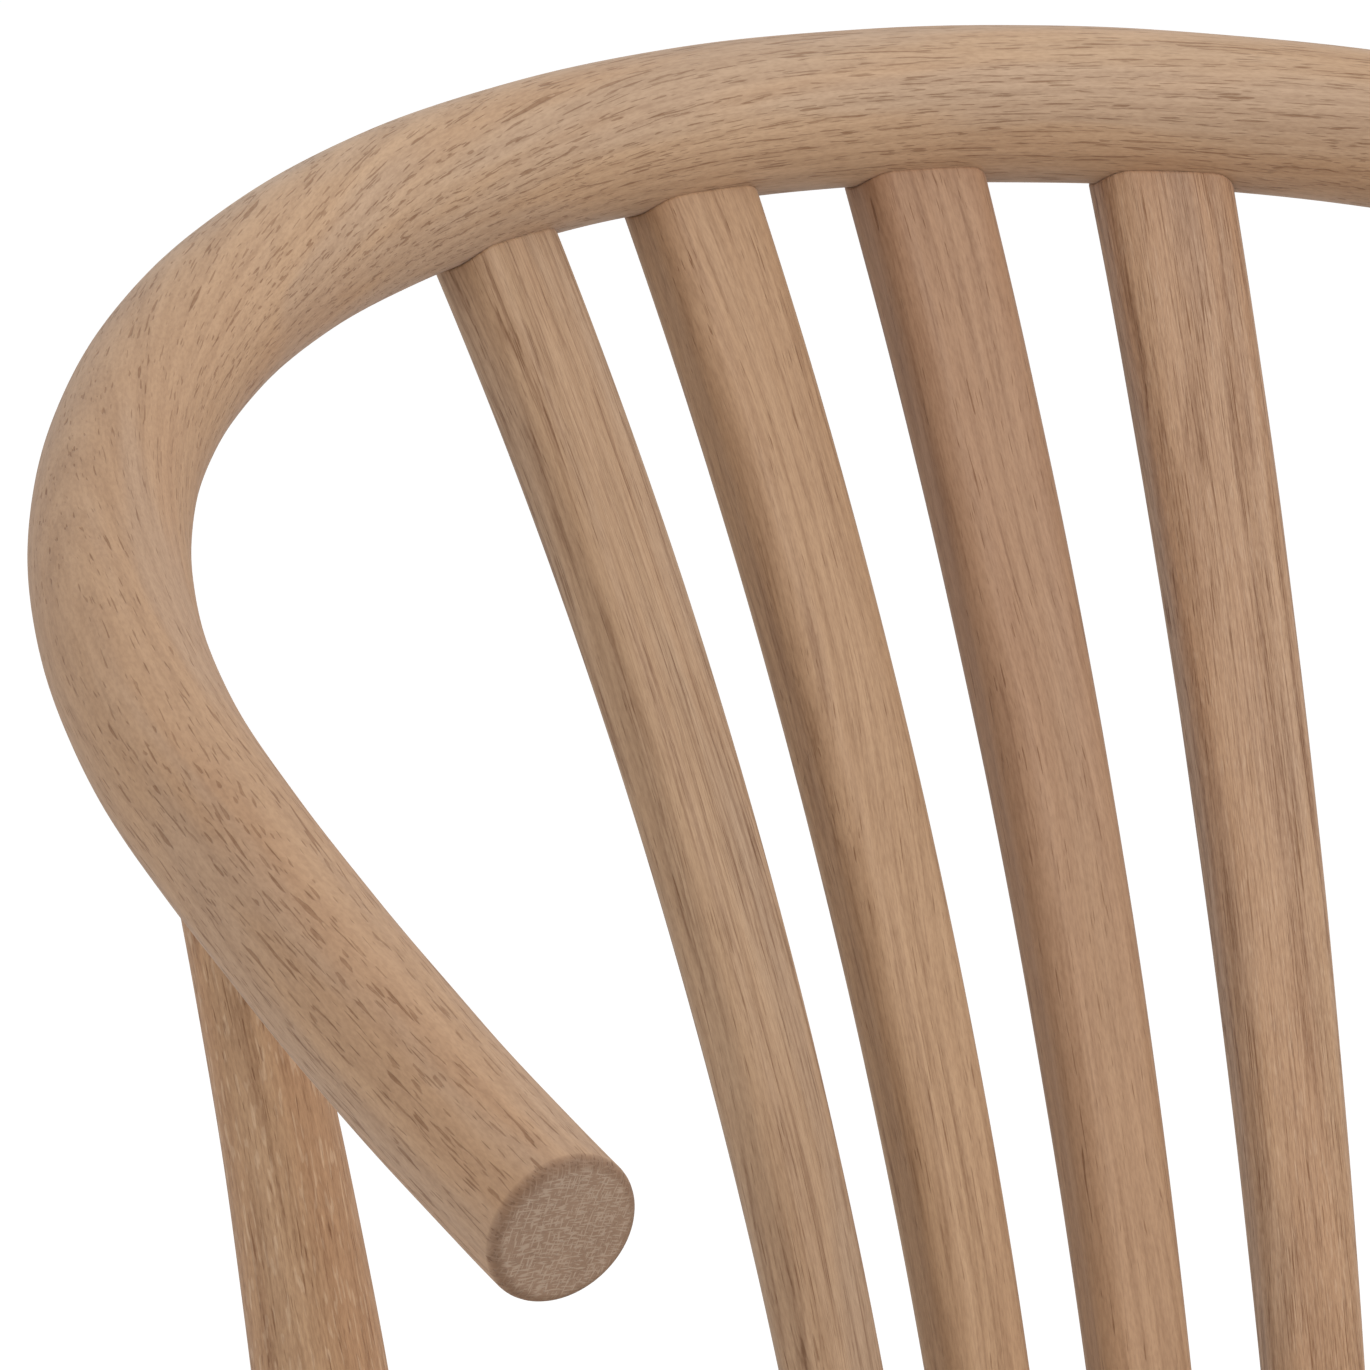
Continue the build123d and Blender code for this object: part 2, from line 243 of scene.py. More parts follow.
# Finishes
class Desk:
    """Places the nodes of one material and joins them."""

    def __init__(self, name: str) -> None:
        """Starts an empty material with its shader and output.

        Args:
            name: The material's name.
        """
        self.material = bpy.data.materials.new(name)
        self.material.use_nodes = True
        self.tree = self.material.node_tree
        self.tree.nodes.clear()
        self.shader = self.node("BsdfPrincipled")
        self.out = self.node("OutputMaterial").inputs["Surface"]
        self.join(self.shader.outputs["BSDF"], self.out)

    def join(self, value: object, socket: Socket) -> None:
        """Links a socket to a socket, or sets a plain value on it.

        Args:
            value: A socket, number, vector or colour.
            socket: The input that gets it.
        """
        if isinstance(value, Socket):
            self.tree.links.new(value, socket)
        else:
            socket.default_value = (*value, 1.0) if socket.type == "RGBA" else value

    def feed(self, node: bpy.types.Node, values: dict | tuple) -> None:
        """Joins values to a node's inputs.

        Args:
            node: The node.
            values: The values in the inputs' order, or by the inputs' names or places.
        """
        for key, value in values.items() if isinstance(values, dict) else enumerate(values):
            self.join(value, node.inputs[key])

    def node(self, kind: str, values: dict | tuple = (), **settings: object) -> bpy.types.Node:
        """One new node.

        Args:
            kind: Blender's name for it, without "ShaderNode".
            values: What its inputs get.
            settings: Its own settings, made before its inputs are joined.

        Returns:
            The node.
        """
        node = self.tree.nodes.new("ShaderNode" + kind)
        for name, setting in settings.items():
            setattr(node, name, setting)
        self.feed(node, values)
        return node

    def sum(self, operation: str, *values: object, clamp: bool = False) -> Socket:
        """One Math node.

        Args:
            operation: Blender's name for the sum.
            values: Sockets or numbers.
            clamp: Whether the answer stays between 0 and 1.

        Returns:
            Its answer.
        """
        return self.node("Math", values, operation=operation, use_clamp=clamp).outputs[0]

    def times(self, first: object, second: object) -> Socket:
        """The product of two values."""
        return self.sum("MULTIPLY", first, second)

    def added(self, value: object, share: object, base: object, clamp: bool = False) -> Socket:
        """A share of a value, added to a base."""
        return self.sum("MULTIPLY_ADD", value, share, base, clamp=clamp)

    def ease(self, value: object, low: float, high: float, to_low: float = 0.0,
             to_high: float = 1.0) -> Socket:
        """A smooth step of a value from one pair of limits to another.

        Args:
            value: What is stepped.
            low: The value that gives to_low.
            high: The value that gives to_high.
            to_low: Answer at and below low.
            to_high: Answer at and above high.

        Returns:
            The stepped value.
        """
        limits = (value, low, high, to_low, to_high)
        return self.node("MapRange", limits, interpolation_type="SMOOTHSTEP").outputs[0]

    def noise(self, vector: Socket, scale: Triple, detail: float = 2.0, rough: float = 0.5) -> Socket:
        """Noise on a stretched vector.

        Args:
            vector: Where it is read.
            scale: Waves per metre along each axis.
            detail: Finer layers on top.
            rough: How strong those are.

        Returns:
            Values around a half.
        """
        where = self.node("VectorMath", (vector, scale), operation="MULTIPLY").outputs[0]
        look = {"Vector": where, "Scale": 1.0, "Detail": detail, "Roughness": rough}
        return self.node("TexNoise", look).outputs["Fac"]

    def patches(self, vector: Socket, scale: Triple, low: float, high: float, detail: float = 2.0,
                rough: float = 0.5) -> Socket:
        """Noise eased into patches: 0 under the low limit, 1 above the high one.

        Args:
            vector: Where it is read.
            scale: Waves per metre along each axis.
            low: Noise that gives 0.
            high: Noise that gives 1.
            detail: Finer layers on top.
            rough: How strong those are.

        Returns:
            The patches.
        """
        return self.ease(self.noise(vector, scale, detail, rough), low, high)

    def attribute(self, name: str, output: str) -> Socket:
        """One of the piece's own attributes."""
        return self.node("Attribute", attribute_name=name).outputs[output]

    def blend(self, share: object, first: object, second: object, kind: str = "MIX") -> Socket:
        """Two colours mixed by a share.

        Args:
            share: 0 gives the first and 1 the second.
            first: A colour or socket.
            second: A colour or socket.
            kind: Blender's name for the way of mixing.

        Returns:
            The mixed colour.
        """
        colours = {0: share, 6: first, 7: second}
        return self.node("Mix", colours, data_type="RGBA", blend_type=kind).outputs[2]

    def bump(self, height: Socket, strength: float, distance: float) -> None:
        """Roughens the surface by a height."""
        node = self.node("Bump", {"Strength": strength, "Distance": distance, "Height": height})
        self.join(node.outputs["Normal"], self.shader.inputs["Normal"])

    def clear_from_below(self) -> None:
        """Makes the back of each face clear."""
        back = self.node("NewGeometry").outputs["Backfacing"]
        clear = self.node("BsdfTransparent").outputs["BSDF"]
        mix = self.node("MixShader", (back, self.shader.outputs["BSDF"], clear))
        self.join(mix.outputs["Shader"], self.out)


@dataclass(frozen=True)
class OakFinish:
    """Pale matt oak: its colours, and how strong each of its features is.

    Some pieces darken along their length, partly in their own tone and partly as painted
    shade: the darkening gives a place in the log, from how far off it they darken, up to how far, and by
    what share.
    """

    name: str
    tint: Colour = (1.0, 1.0, 1.0)
    pale: Colour = (0.565, 0.376, 0.230)
    deep: Colour = (0.435, 0.268, 0.148)
    mark: Colour = (0.42, 0.32, 0.25)
    greyed: Colour = (0.49, 0.355, 0.25)
    reddish: Colour = (0.485, 0.28, 0.155)
    tone_and_shade_colour: Colour = (0.26, 0.10, 0.05)
    fleck: Colour = (0.74, 0.56, 0.40)
    tip_pale: Colour = (0.345, 0.222, 0.146)
    # Colour of the darkening along a piece: partly tone, partly painted shade.
    tip_deep: Colour = (0.27, 0.168, 0.108)
    tip_net: Colour = (0.53, 0.405, 0.30)
    # The darkening along a piece: partly tone, partly painted shade.
    fade: tuple[float, float, float, float] = (0.0, 0.0, 1.0, 0.0)
    ring: float = 0.0028
    ring_depth: float = 0.12
    crowding: float = 0.6
    pore_stretch: float = 1.0
    pore_depth: float = 0.46
    clouds: float = 0.28
    streaks: float = 0.3
    hairlines: float = 0.2
    fibres: float = 0.16
    grit: float = 0.18
    grey: float = 0.3
    red: float = 0.25
    flecks: float = 0.0
    net: float = 0.52
    # Strength of the painted shade on the rounded rim of each sawn end.
    rim: float = 2.5
    gloss: float = 0.34
    sheen: float = 0.12
    sheen_rough: float = 0.45
    relief: float = 0.0002

    def material(self) -> bpy.types.Material:
        """The oak as shader nodes, made once for each finish."""
        made = bpy.data.materials.get(self.name)
        return made if made is not None else OakDesk(self).material


class OakDesk(Desk):
    """Draws one oak finish, seen as it was cut from the log.

    The log has its pith along the first axis of the attribute "grain". Rings lie
    round it, and pores are slim dashes crowded into each ring's spring wood. The
    attributes "end_grain" and "open_pores" say where a sawn end shows, and how far
    the pores stand open.
    """

    def __init__(self, finish: OakFinish) -> None:
        """Joins the colour, roughness, sheen and bump.

        Args:
            finish: What is drawn.
        """
        super().__init__(finish.name)
        self.finish = finish
        self.place = self.attribute("grain", "Vector")
        self.log_place, self.spring = self.rings()
        self.fibre = self.noise(self.log_place, (75.0, 1500.0, 1500.0), 2.0, 0.6)
        self.pore = self.pores()
        at_end = self.attribute("end_grain", "Fac")
        wood = self.blend(self.marks(), self.wood(), finish.mark, "MULTIPLY")
        # Painted shade: the rounded rim round each sawn end is darkened with the mark colour, as if in
        # shadow.
        rim = self.times(self.times(at_end, self.sum("SUBTRACT", 1.0, at_end)), finish.rim)
        colour = self.blend(rim, self.blend(at_end, wood, self.tip()), finish.mark, "MULTIPLY")
        self.feed(self.shader, {
            "Base Color": self.blend(1.0, colour, finish.tint, "MULTIPLY"),
            "Roughness": self.added(self.fibre, 0.14, self.added(self.pore, 0.2, 0.5)),
            "Specular IOR Level": finish.gloss,
            "Sheen Weight": finish.sheen,
            "Sheen Roughness": finish.sheen_rough})
        height = self.added(self.fibre, 0.35, self.times(self.spring, -0.12))
        self.bump(self.added(self.pore, -1.0, height), 0.5, finish.relief)

    def rings(self) -> tuple[Socket, Socket]:
        """The point in the log's own round measure, and how deep in spring wood it lies.

        The distance from the pith wanders slowly, so that the rings are never true
        circles, and the rings' edges flutter a little.

        Returns:
            Along, out from the pith and round it; and 1 in a ring's spring wood.
        """
        along, first, second = self.node("SeparateXYZ", (self.place,)).outputs
        drift = self.noise(self.place, (6.0, 16.0, 16.0), 1.0)
        flutter = self.noise(self.place, (34.0, 190.0, 190.0), 1.0)
        from_pith = self.sum("SQRT", self.added(first, first, self.times(second, second)))
        reach = self.added(drift, 0.018, from_pith)
        around = self.added(drift, 0.012, self.times(self.sum("ARCTAN2", first, second), 0.1))
        rings = self.sum("DIVIDE", self.added(flutter, 0.0011, reach), self.finish.ring)
        phase = self.sum("FRACT", rings)
        spring = self.times(self.ease(phase, 0.0, 0.12), self.ease(phase, 0.35, 0.8, 1.0, 0.0))
        return self.node("CombineXYZ", (along, reach, around)).outputs[0], spring

    def pores(self) -> Socket:
        """Open pores: the peaks of long, slim waves in two sizes, with more of them in the spring wood.

        Returns:
            1 inside a pore.
        """
        share = self.times(self.added(self.spring, 0.65, 0.35), self.attribute("open_pores", "Fac"))
        sizes = []
        for long, slim, least in ((95.0, 2000.0, 0.79), (170.0, 3000.0, 0.775)):
            wave = self.noise(self.log_place, (long / self.finish.pore_stretch, slim, slim), 0.0)
            limit = self.added(share, -0.14 * self.finish.crowding, least)
            sizes.append(self.ease(self.sum("SUBTRACT", wave, limit), -0.015, 0.04))
        return self.sum("MAXIMUM", sizes[0], self.times(sizes[1], 0.8))

    def marks(self) -> Socket:
        """How dark each point is: grit, fibres, hairlines, spring wood and pores.

        A hairline is where slow waves across the grain pass through their middle value.

        Returns:
            0 for clear wood and 1 for the darkest mark.
        """
        look = self.finish
        grit = self.patches(self.log_place, (520.0, 2500.0, 2500.0), 0.36, 0.68, 1.0, 0.6)
        dark = self.added(grit, look.grit, self.times(self.ease(self.fibre, 0.36, 0.7), look.fibres))
        for scale in (300.0, 620.0):
            vein = self.noise(self.log_place, (scale / 36.0, scale, scale), 1.0)
            line = self.ease(self.sum("ABSOLUTE", self.sum("SUBTRACT", vein, 0.5)), 0.0, 0.08, 1.0, 0.0)
            shown = self.patches(self.place, (22.0, 170.0 + scale, 170.0), 0.44, 0.62, 1.0)
            dark = self.added(self.times(line, shown), look.hairlines, dark)
        dark = self.added(self.spring, look.ring_depth, dark)
        return self.added(self.pore, look.pore_depth, dark, clamp=True)

    def wood(self) -> Socket:
        """The clear wood's colour: clouds and streaks, reddish and greyed patches (on the rail partly
        painted sheen), pale flecks, and a darkening that is partly tone, partly painted shade.

        Returns:
            The colour.
        """
        look = self.finish
        clouds = self.patches(self.place, (5.0, 34.0, 34.0), 0.32, 0.68)
        streaks = self.patches(self.log_place, (10.0, 330.0, 330.0), 0.34, 0.68, 3.0, 0.6)
        dark = self.added(streaks, look.streaks, self.times(clouds, look.clouds), clamp=True)
        wood = self.blend(dark, look.pale, look.deep)
        warm = self.patches(self.place, (4.0, 60.0, 60.0), 0.42, 0.62)
        wood = self.blend(self.times(warm, look.red), wood, look.reddish)
        # Greyed patches: greyish wood, and on the rail also painted sheen of its lit top.
        greyed_and_sheen = self.patches(self.place, (9.0, 80.0, 80.0), 0.46, 0.64)
        wood = self.blend(self.times(greyed_and_sheen, look.grey), wood, look.greyed)
        if look.flecks > 0.0:
            fleck = self.patches(self.log_place, (230.0, 1300.0, 1300.0), 0.62, 0.7, 0.0)
            wood = self.blend(self.times(fleck, look.flecks), wood, look.fleck)
        # Darkening along the piece: partly the wood's own tone, partly painted shade where light falls off
        # along the rail and up the slats.
        middle, start, stop, share = look.fade
        if share > 0.0:
            along = self.node("SeparateXYZ", (self.place,)).outputs[0]
            off = self.sum("ABSOLUTE", self.sum("SUBTRACT", along, middle))
            wood = self.blend(self.ease(off, start, stop, 0.0, share), wood, look.tone_and_shade_colour)
        return wood

    def tip(self) -> Socket:
        """The sawn end: a fine net of rays and rings over pinkish brown.

        Returns:
            The colour.
        """
        _, reach, around = self.node("SeparateXYZ", (self.log_place,)).outputs
        first = self.added(around, 0.6, self.times(reach, 0.8))
        second = self.added(around, 0.8, self.times(reach, -0.6))
        turned = self.node("CombineXYZ", (0.0, first, second)).outputs[0]
        rays = self.patches(turned, (0.0, 560.0, 3100.0), 0.5, 0.62, 1.0)
        rings = self.patches(turned, (0.0, 3100.0, 460.0), 0.53, 0.66, 1.0)
        net = self.times(self.sum("MAXIMUM", rays, rings), self.finish.net)
        cloud = self.noise(self.log_place, (0.0, 130.0, 130.0), 1.0)
        base = self.blend(cloud, self.finish.tip_pale, self.finish.tip_deep)
        return self.blend(net, base, self.finish.tip_net)


class Oak(Enum):
    """The chair's oak, piece by piece, as the photograph shows it."""

    # The rail's paler, bluer tint and strong greyed patches partly paint the sheen of its lit top.
    RAIL = OakFinish(
        "oak rail", tint=(1.04, 1.045, 1.065), crowding=0.8, streaks=0.2, hairlines=0.08, fibres=0.1,
        grit=0.16, grey=0.45, fade=(0.4, 0.05, 0.26, 0.22), tone_and_shade_colour=(0.30, 0.10, 0.01))
    SLAT_LEFT_OUTER = OakFinish(
        "oak left outer slat", tint=(0.98, 0.98, 1.0), crowding=0.3, pore_stretch=1.7, streaks=0.42,
        hairlines=0.38, grey=0.38)
    # Darker towards the top: partly tone, partly painted shade.
    SLAT_LEFT_INNER = OakFinish(
        "oak left inner slat", tint=(1.02, 0.99, 0.96), crowding=0.0, hairlines=0.24, grey=0.1,
        fade=(0.0, 1.09, 1.28, 0.11))
    # Darker towards the top: partly tone, partly painted shade.
    SLAT_RIGHT_INNER = OakFinish(
        "oak right inner slat", tint=(1.0, 0.97, 0.96), crowding=0.0, streaks=0.2, hairlines=0.18,
        fibres=0.12, grey=0.15, fade=(0.0, 1.59, 1.78, 0.33))
    # Darker towards the top: partly tone, partly painted shade.
    SLAT_RIGHT_OUTER = OakFinish(
        "oak right outer slat", tint=(1.10, 1.09, 1.10), crowding=0.5, pore_stretch=1.9, streaks=0.35,
        hairlines=0.3, grit=0.26, grey=0.4, ring_depth=0.16, red=0.5, flecks=0.2,
        fade=(0.0, 2.39, 2.58, 0.22))
    POST = OakFinish(
        "oak post", tint=(0.98, 0.92, 0.86), crowding=0.3, streaks=0.4, hairlines=0.22, grit=0.22,
        red=0.55, grey=0.0, flecks=0.4)
    SEAT_LEFT = OakFinish("oak left board", crowding=0.8)
    SEAT_MIDDLE = OakFinish("oak middle board", crowding=0.75, tint=(1.0, 0.97, 0.94))
    SEAT_RIGHT = OakFinish("oak right board", crowding=0.8, tint=(0.97, 0.97, 0.98))
    LEG = OakFinish("oak leg", crowding=0.65)


@dataclass(frozen=True)
class PlainFinish:
    """A plain finish for the hidden dowels and the glides: a cloudy colour with fine grit."""

    name: str
    pale: Colour
    deep: Colour
    stretch: Triple
    roughness: float

    def material(self) -> bpy.types.Material:
        """The finish as shader nodes on Object coordinates.

        Returns:
            The material.
        """
        desk = Desk(self.name)
        where = desk.node("TexCoord").outputs["Object"]
        cloud = desk.noise(where, self.stretch, 3.0, 0.6)
        desk.feed(desk.shader, {
            "Base Color": desk.blend(desk.ease(cloud, 0.3, 0.7), self.pale, self.deep),
            "Roughness": desk.added(cloud, 0.15, self.roughness)})
        desk.bump(desk.noise(where, (2600.0, 2600.0, 2600.0), 2.0), 0.3, 0.0001)
        return desk.material


BEECH = PlainFinish("beech dowel", (0.60, 0.42, 0.27), (0.50, 0.33, 0.20), (40.0, 900.0, 900.0), 0.5)
NYLON = PlainFinish("nylon glide", (0.60, 0.57, 0.52), (0.54, 0.51, 0.46), (90.0, 90.0, 90.0), 0.42)


# Sizes of the whole chair
@dataclass(frozen=True)
class ChairSize:
    """The sizes that all pieces share."""

    depth: float = 0.540
    seat_height: float = 0.450
    seat_thick: float = 0.036
    rail_rise: float = 0.335

    @property
    def seat_under(self) -> float:
        """Height of the seat's underside."""
        return self.seat_height - self.seat_thick

    @property
    def front(self) -> float:
        """The seat's front edge."""
        return -self.depth / 2.0


CHAIR = ChairSize()


@dataclass
class BentRail:
    """One round bar that makes both arms and the top of the back."""

    diameter: float = 0.0292
    hoop_radius: float = 0.270
    tilt: float = 21.2
    bend: float = 79.4
    arm_length: float = 0.146
    arm_radius: float = 1.010
    tip_round: float = 0.0025
    uneven: float = 0.00016
    blank: Blank = Blank(turn=0.35, from_pith=0.11, aside=0.03, start=0.4)

    @property
    def radius(self) -> float:
        """Half the rail's diameter."""
        return self.diameter / 2.0

    @property
    def crest(self) -> Array:
        """The rail's centre at the middle of the back."""
        return row(0.0, CHAIR.depth / 2.0 - self.radius, CHAIR.seat_height + CHAIR.rail_rise)

    @property
    def back(self) -> Array:
        """The rail's own backward direction, in its tilted plane."""
        return row(0.0, np.cos(np.radians(self.tilt)), np.sin(np.radians(self.tilt)))

    @property
    def over(self) -> Array:
        """Square to the rail's plane, upwards."""
        return np.cross(RIGHT, self.back)

    @property
    def reach(self) -> float:
        """Length of the rail on each side of the crest."""
        return self.hoop_radius * np.radians(self.bend) + self.arm_length

    def place(self, along: Array) -> tuple[Array, Array]:
        """The centreline by its distance from the crest, positive to the left.

        The round back turns by distance over its radius, and the arm goes on
        turning by distance over its own, much larger radius.

        Args:
            along: Signed distances along the rail.

        Returns:
            Points, and the outward direction at each.
        """
        side = np.where(along < 0.0, -1.0, 1.0)
        run, full = np.abs(along), np.radians(self.bend)
        turned = np.minimum(run / self.hoop_radius, full)
        angle = turned + np.maximum(run - self.hoop_radius * full, 0.0) / self.arm_radius
        x = self.hoop_radius * np.sin(turned) + self.arm_radius * (np.sin(angle) - np.sin(turned))
        y = (self.hoop_radius * (np.cos(turned) - 1.0)
             + self.arm_radius * (np.cos(angle) - np.cos(turned)))
        point = self.crest + (-side * x)[..., None] * RIGHT + y[..., None] * self.back
        outward = -(side * np.sin(angle))[..., None] * RIGHT + np.cos(angle)[..., None] * self.back
        return point, outward

    def gap(self, points: Array) -> Array:
        """Distance of points from the rail's surface, negative inside.

        In the rail's plane the distance is taken from the circle of the round
        back, or of the arm behind which the point lies, then joined with the
        height off the plane.

        Args:
            points: Points on a last axis of three.

        Returns:
            One distance for each.
        """
        off = points - self.crest
        x, y, z = -np.abs(off[..., 0]), off @ self.back + self.hoop_radius, off @ self.over
        full = np.radians(self.bend)
        round_back = np.abs(np.hypot(x, y) - self.hoop_radius)
        shift = self.arm_radius - self.hoop_radius
        from_arm = np.hypot(x - shift * np.sin(full), y + shift * np.cos(full))
        arm = np.abs(from_arm - self.arm_radius)
        beyond = np.arctan2(-x, y) > full
        return np.hypot(np.where(beyond, arm, round_back), z) - self.radius

    def skin(self) -> Skin:
        """A circle carried along the centreline, drawn in over a quarter circle at each tip to a flat end.

        Returns:
            The rail's surface.
        """
        steps, around, tip_steps, face_steps = 420, 96, 7, 13
        end, face_share, first_mark = self.reach - self.tip_round, 0.93, 0.15
        quarter = np.linspace(0.0, QUARTER, tip_steps + 1)[1:]
        tip_in = self.tip_round * (1.0 - np.cos(quarter))
        face_in = np.linspace(self.tip_round, self.radius * face_share, face_steps + 1)[1:]
        half = np.concatenate([end + self.tip_round * np.sin(quarter), np.full(face_steps, self.reach)])
        half_in = np.concatenate([tip_in, face_in])
        half_mark = np.concatenate([np.linspace(first_mark, 1.0, tip_steps), np.ones(face_steps)])
        along = np.concatenate([-half[::-1], np.linspace(-end, end, steps), half])
        inset = np.concatenate([half_in[::-1], np.zeros(steps), half_in])[:, None]
        marks = np.concatenate([half_mark[::-1], np.zeros(steps), half_mark])[:, None]
        point, outward = self.place(along)
        angle = round_angles(around)[None, :]
        waves = slow_waves(along[:, None], angle, self.uneven, 1.3) * (inset < 0.001)
        radius = self.radius - inset + waves
        across, through = radius * np.cos(angle), radius * np.sin(angle)
        surface = point[:, None] + across[..., None] * outward[:, None] + through[..., None] * self.over
        grain = self.blank.grain(along[:, None], across + self.grain_lag(along)[:, None], through)
        opened = 1.0 - 0.75 * np.exp(-((along - 0.29) / 0.075) ** 2)
        return Skin("oak_bent_rail", surface, grain, marks, opened[:, None])

    def grain_lag(self, along: Array) -> Array:
        """Sideways drift of the fibres: a slow slope, and a step on the way into the left corner."""
        return 0.03 * along + 0.011 * np.tanh((along - 0.17) / 0.08)

    def make(self) -> None:
        """The dressed rail."""
        self.skin().dress(Oak.RAIL.value, "oak_rail", "bent_rail")


@dataclass
class Bend:
    """The centreline of a bent upright: an arc in the upright plane in which it leans."""

    rail: BentRail
    along: float
    outward: Array
    top_lean: float
    radius: float
    set_back: float = 0.0

    @property
    def top(self) -> Array:
        """Where it meets the rail's centreline."""
        return self.rail.place(np.array(self.along))[0]

    @property
    def lean(self) -> float:
        """Angle off upright at the rail."""
        return float(np.radians(self.top_lean))

    @property
    def middle(self) -> Array:
        """Centre of the arc, out from the top along its own square direction."""
        way = self.outward * np.cos(self.lean) - UP * np.sin(self.lean)
        return self.top + way * (self.radius + self.set_back)

    def seat_lean(self, through: Array | float = 0.0) -> Array:
        """Angle off upright at the seat's top, for lines that lie outwards of the centreline."""
        return np.arcsin((CHAIR.seat_height - self.middle[2]) / (self.radius - through))

    def place(self, lean: Array, across: Array, through: Array) -> Array:
        """Points of a bar that is bent along the arc.

        Args:
            lean: Angle off upright.
            across: Distance along the level direction square to the bend.
            through: Distance outwards from the centreline.

        Returns:
            Points on a last axis of three.
        """
        ahead = UP * np.sin(lean)[..., None] - self.outward * np.cos(lean)[..., None]
        level = np.cross(self.outward, UP)
        return self.middle + ahead * (self.radius - through)[..., None] + level * across[..., None]

    def meets(self, across: Array, through: Array) -> Array:
        """The angle at which each lengthwise line of a bar touches the rail.

        Halving between a lean below the rail and the lean at its centre.

        Args:
            across: Each line's level distance from the centreline.
            through: Each line's outward distance from the centreline.

        Returns:
            One angle for each line.
        """
        low = np.full(across.shape, self.lean - 2.2 * self.rail.radius / self.radius)
        high = np.full(across.shape, self.lean)
        for _ in range(40):
            half = (low + high) / 2.0
            inside = self.rail.gap(self.place(half, across, through)) < 0.0
            low, high = np.where(inside, low, half), np.where(inside, half, high)
        return low

    def rows(self, steps: int, lip: float) -> tuple[Array, Array, Array, Array]:
        """Rows of the upright from seat to rail, with a softened lip under the rail.

        The lip is a quarter circle: inset is its radius less the height of the circle.

        Args:
            steps: Rows on the plain part.
            lip: Radius of the lip.

        Returns:
            Share of the way up, distance short of the rail, inset and rough lean of each row.
        """
        lip_steps, lip_share, sunk = 6, 0.8, (0.0012, 0.003)
        share = np.concatenate([np.linspace(0.0, 1.0, steps), np.ones(lip_steps + len(sunk))])
        turn = np.linspace(0.0, QUARTER, lip_steps + 1)[1:]
        short = np.concatenate([np.full(steps, lip), lip * (1.0 - np.sin(turn)), -row(*sunk)])
        inset = np.concatenate([np.zeros(steps), 1.0 - np.cos(turn), np.ones(len(sunk))]) * lip * lip_share
        foot = self.seat_lean()
        return share, short, inset, foot + (self.lean - foot) * share

    def leans(self, share: Array, short: Array, top: tuple[Array, Array], foot: Array) -> Array:
        """The angle off upright of every point: a straight share between its line's two ends.

        Args:
            share: Share of the way up of each row.
            short: Distance of each row short of the rail.
            top: The lines' distances across and through at the rail.
            foot: Their distances through at the seat.

        Returns:
            One angle for each row and line.
        """
        low = self.seat_lean(foot)
        return low + (self.meets(*top) - low) * share[:, None] - (short / self.radius * share)[:, None]

    def skin(self, name: str, blank: Blank, lean: Array, across: Array, through: Array) -> Skin:
        """The bar's surface, its lowest row level with the seat.

        Args:
            name: The piece's name.
            blank: Where its wood lay in the log.
            lean: Angle off upright of each point.
            across: Level distance of each point from the centreline.
            through: Outward distance of each point from the centreline.

        Returns:
            The surface.
        """
        points = self.place(lean, across, through)
        points[0, :, 2] = CHAIR.seat_height
        return Skin(name, points, blank.grain(self.radius * lean, across, through))


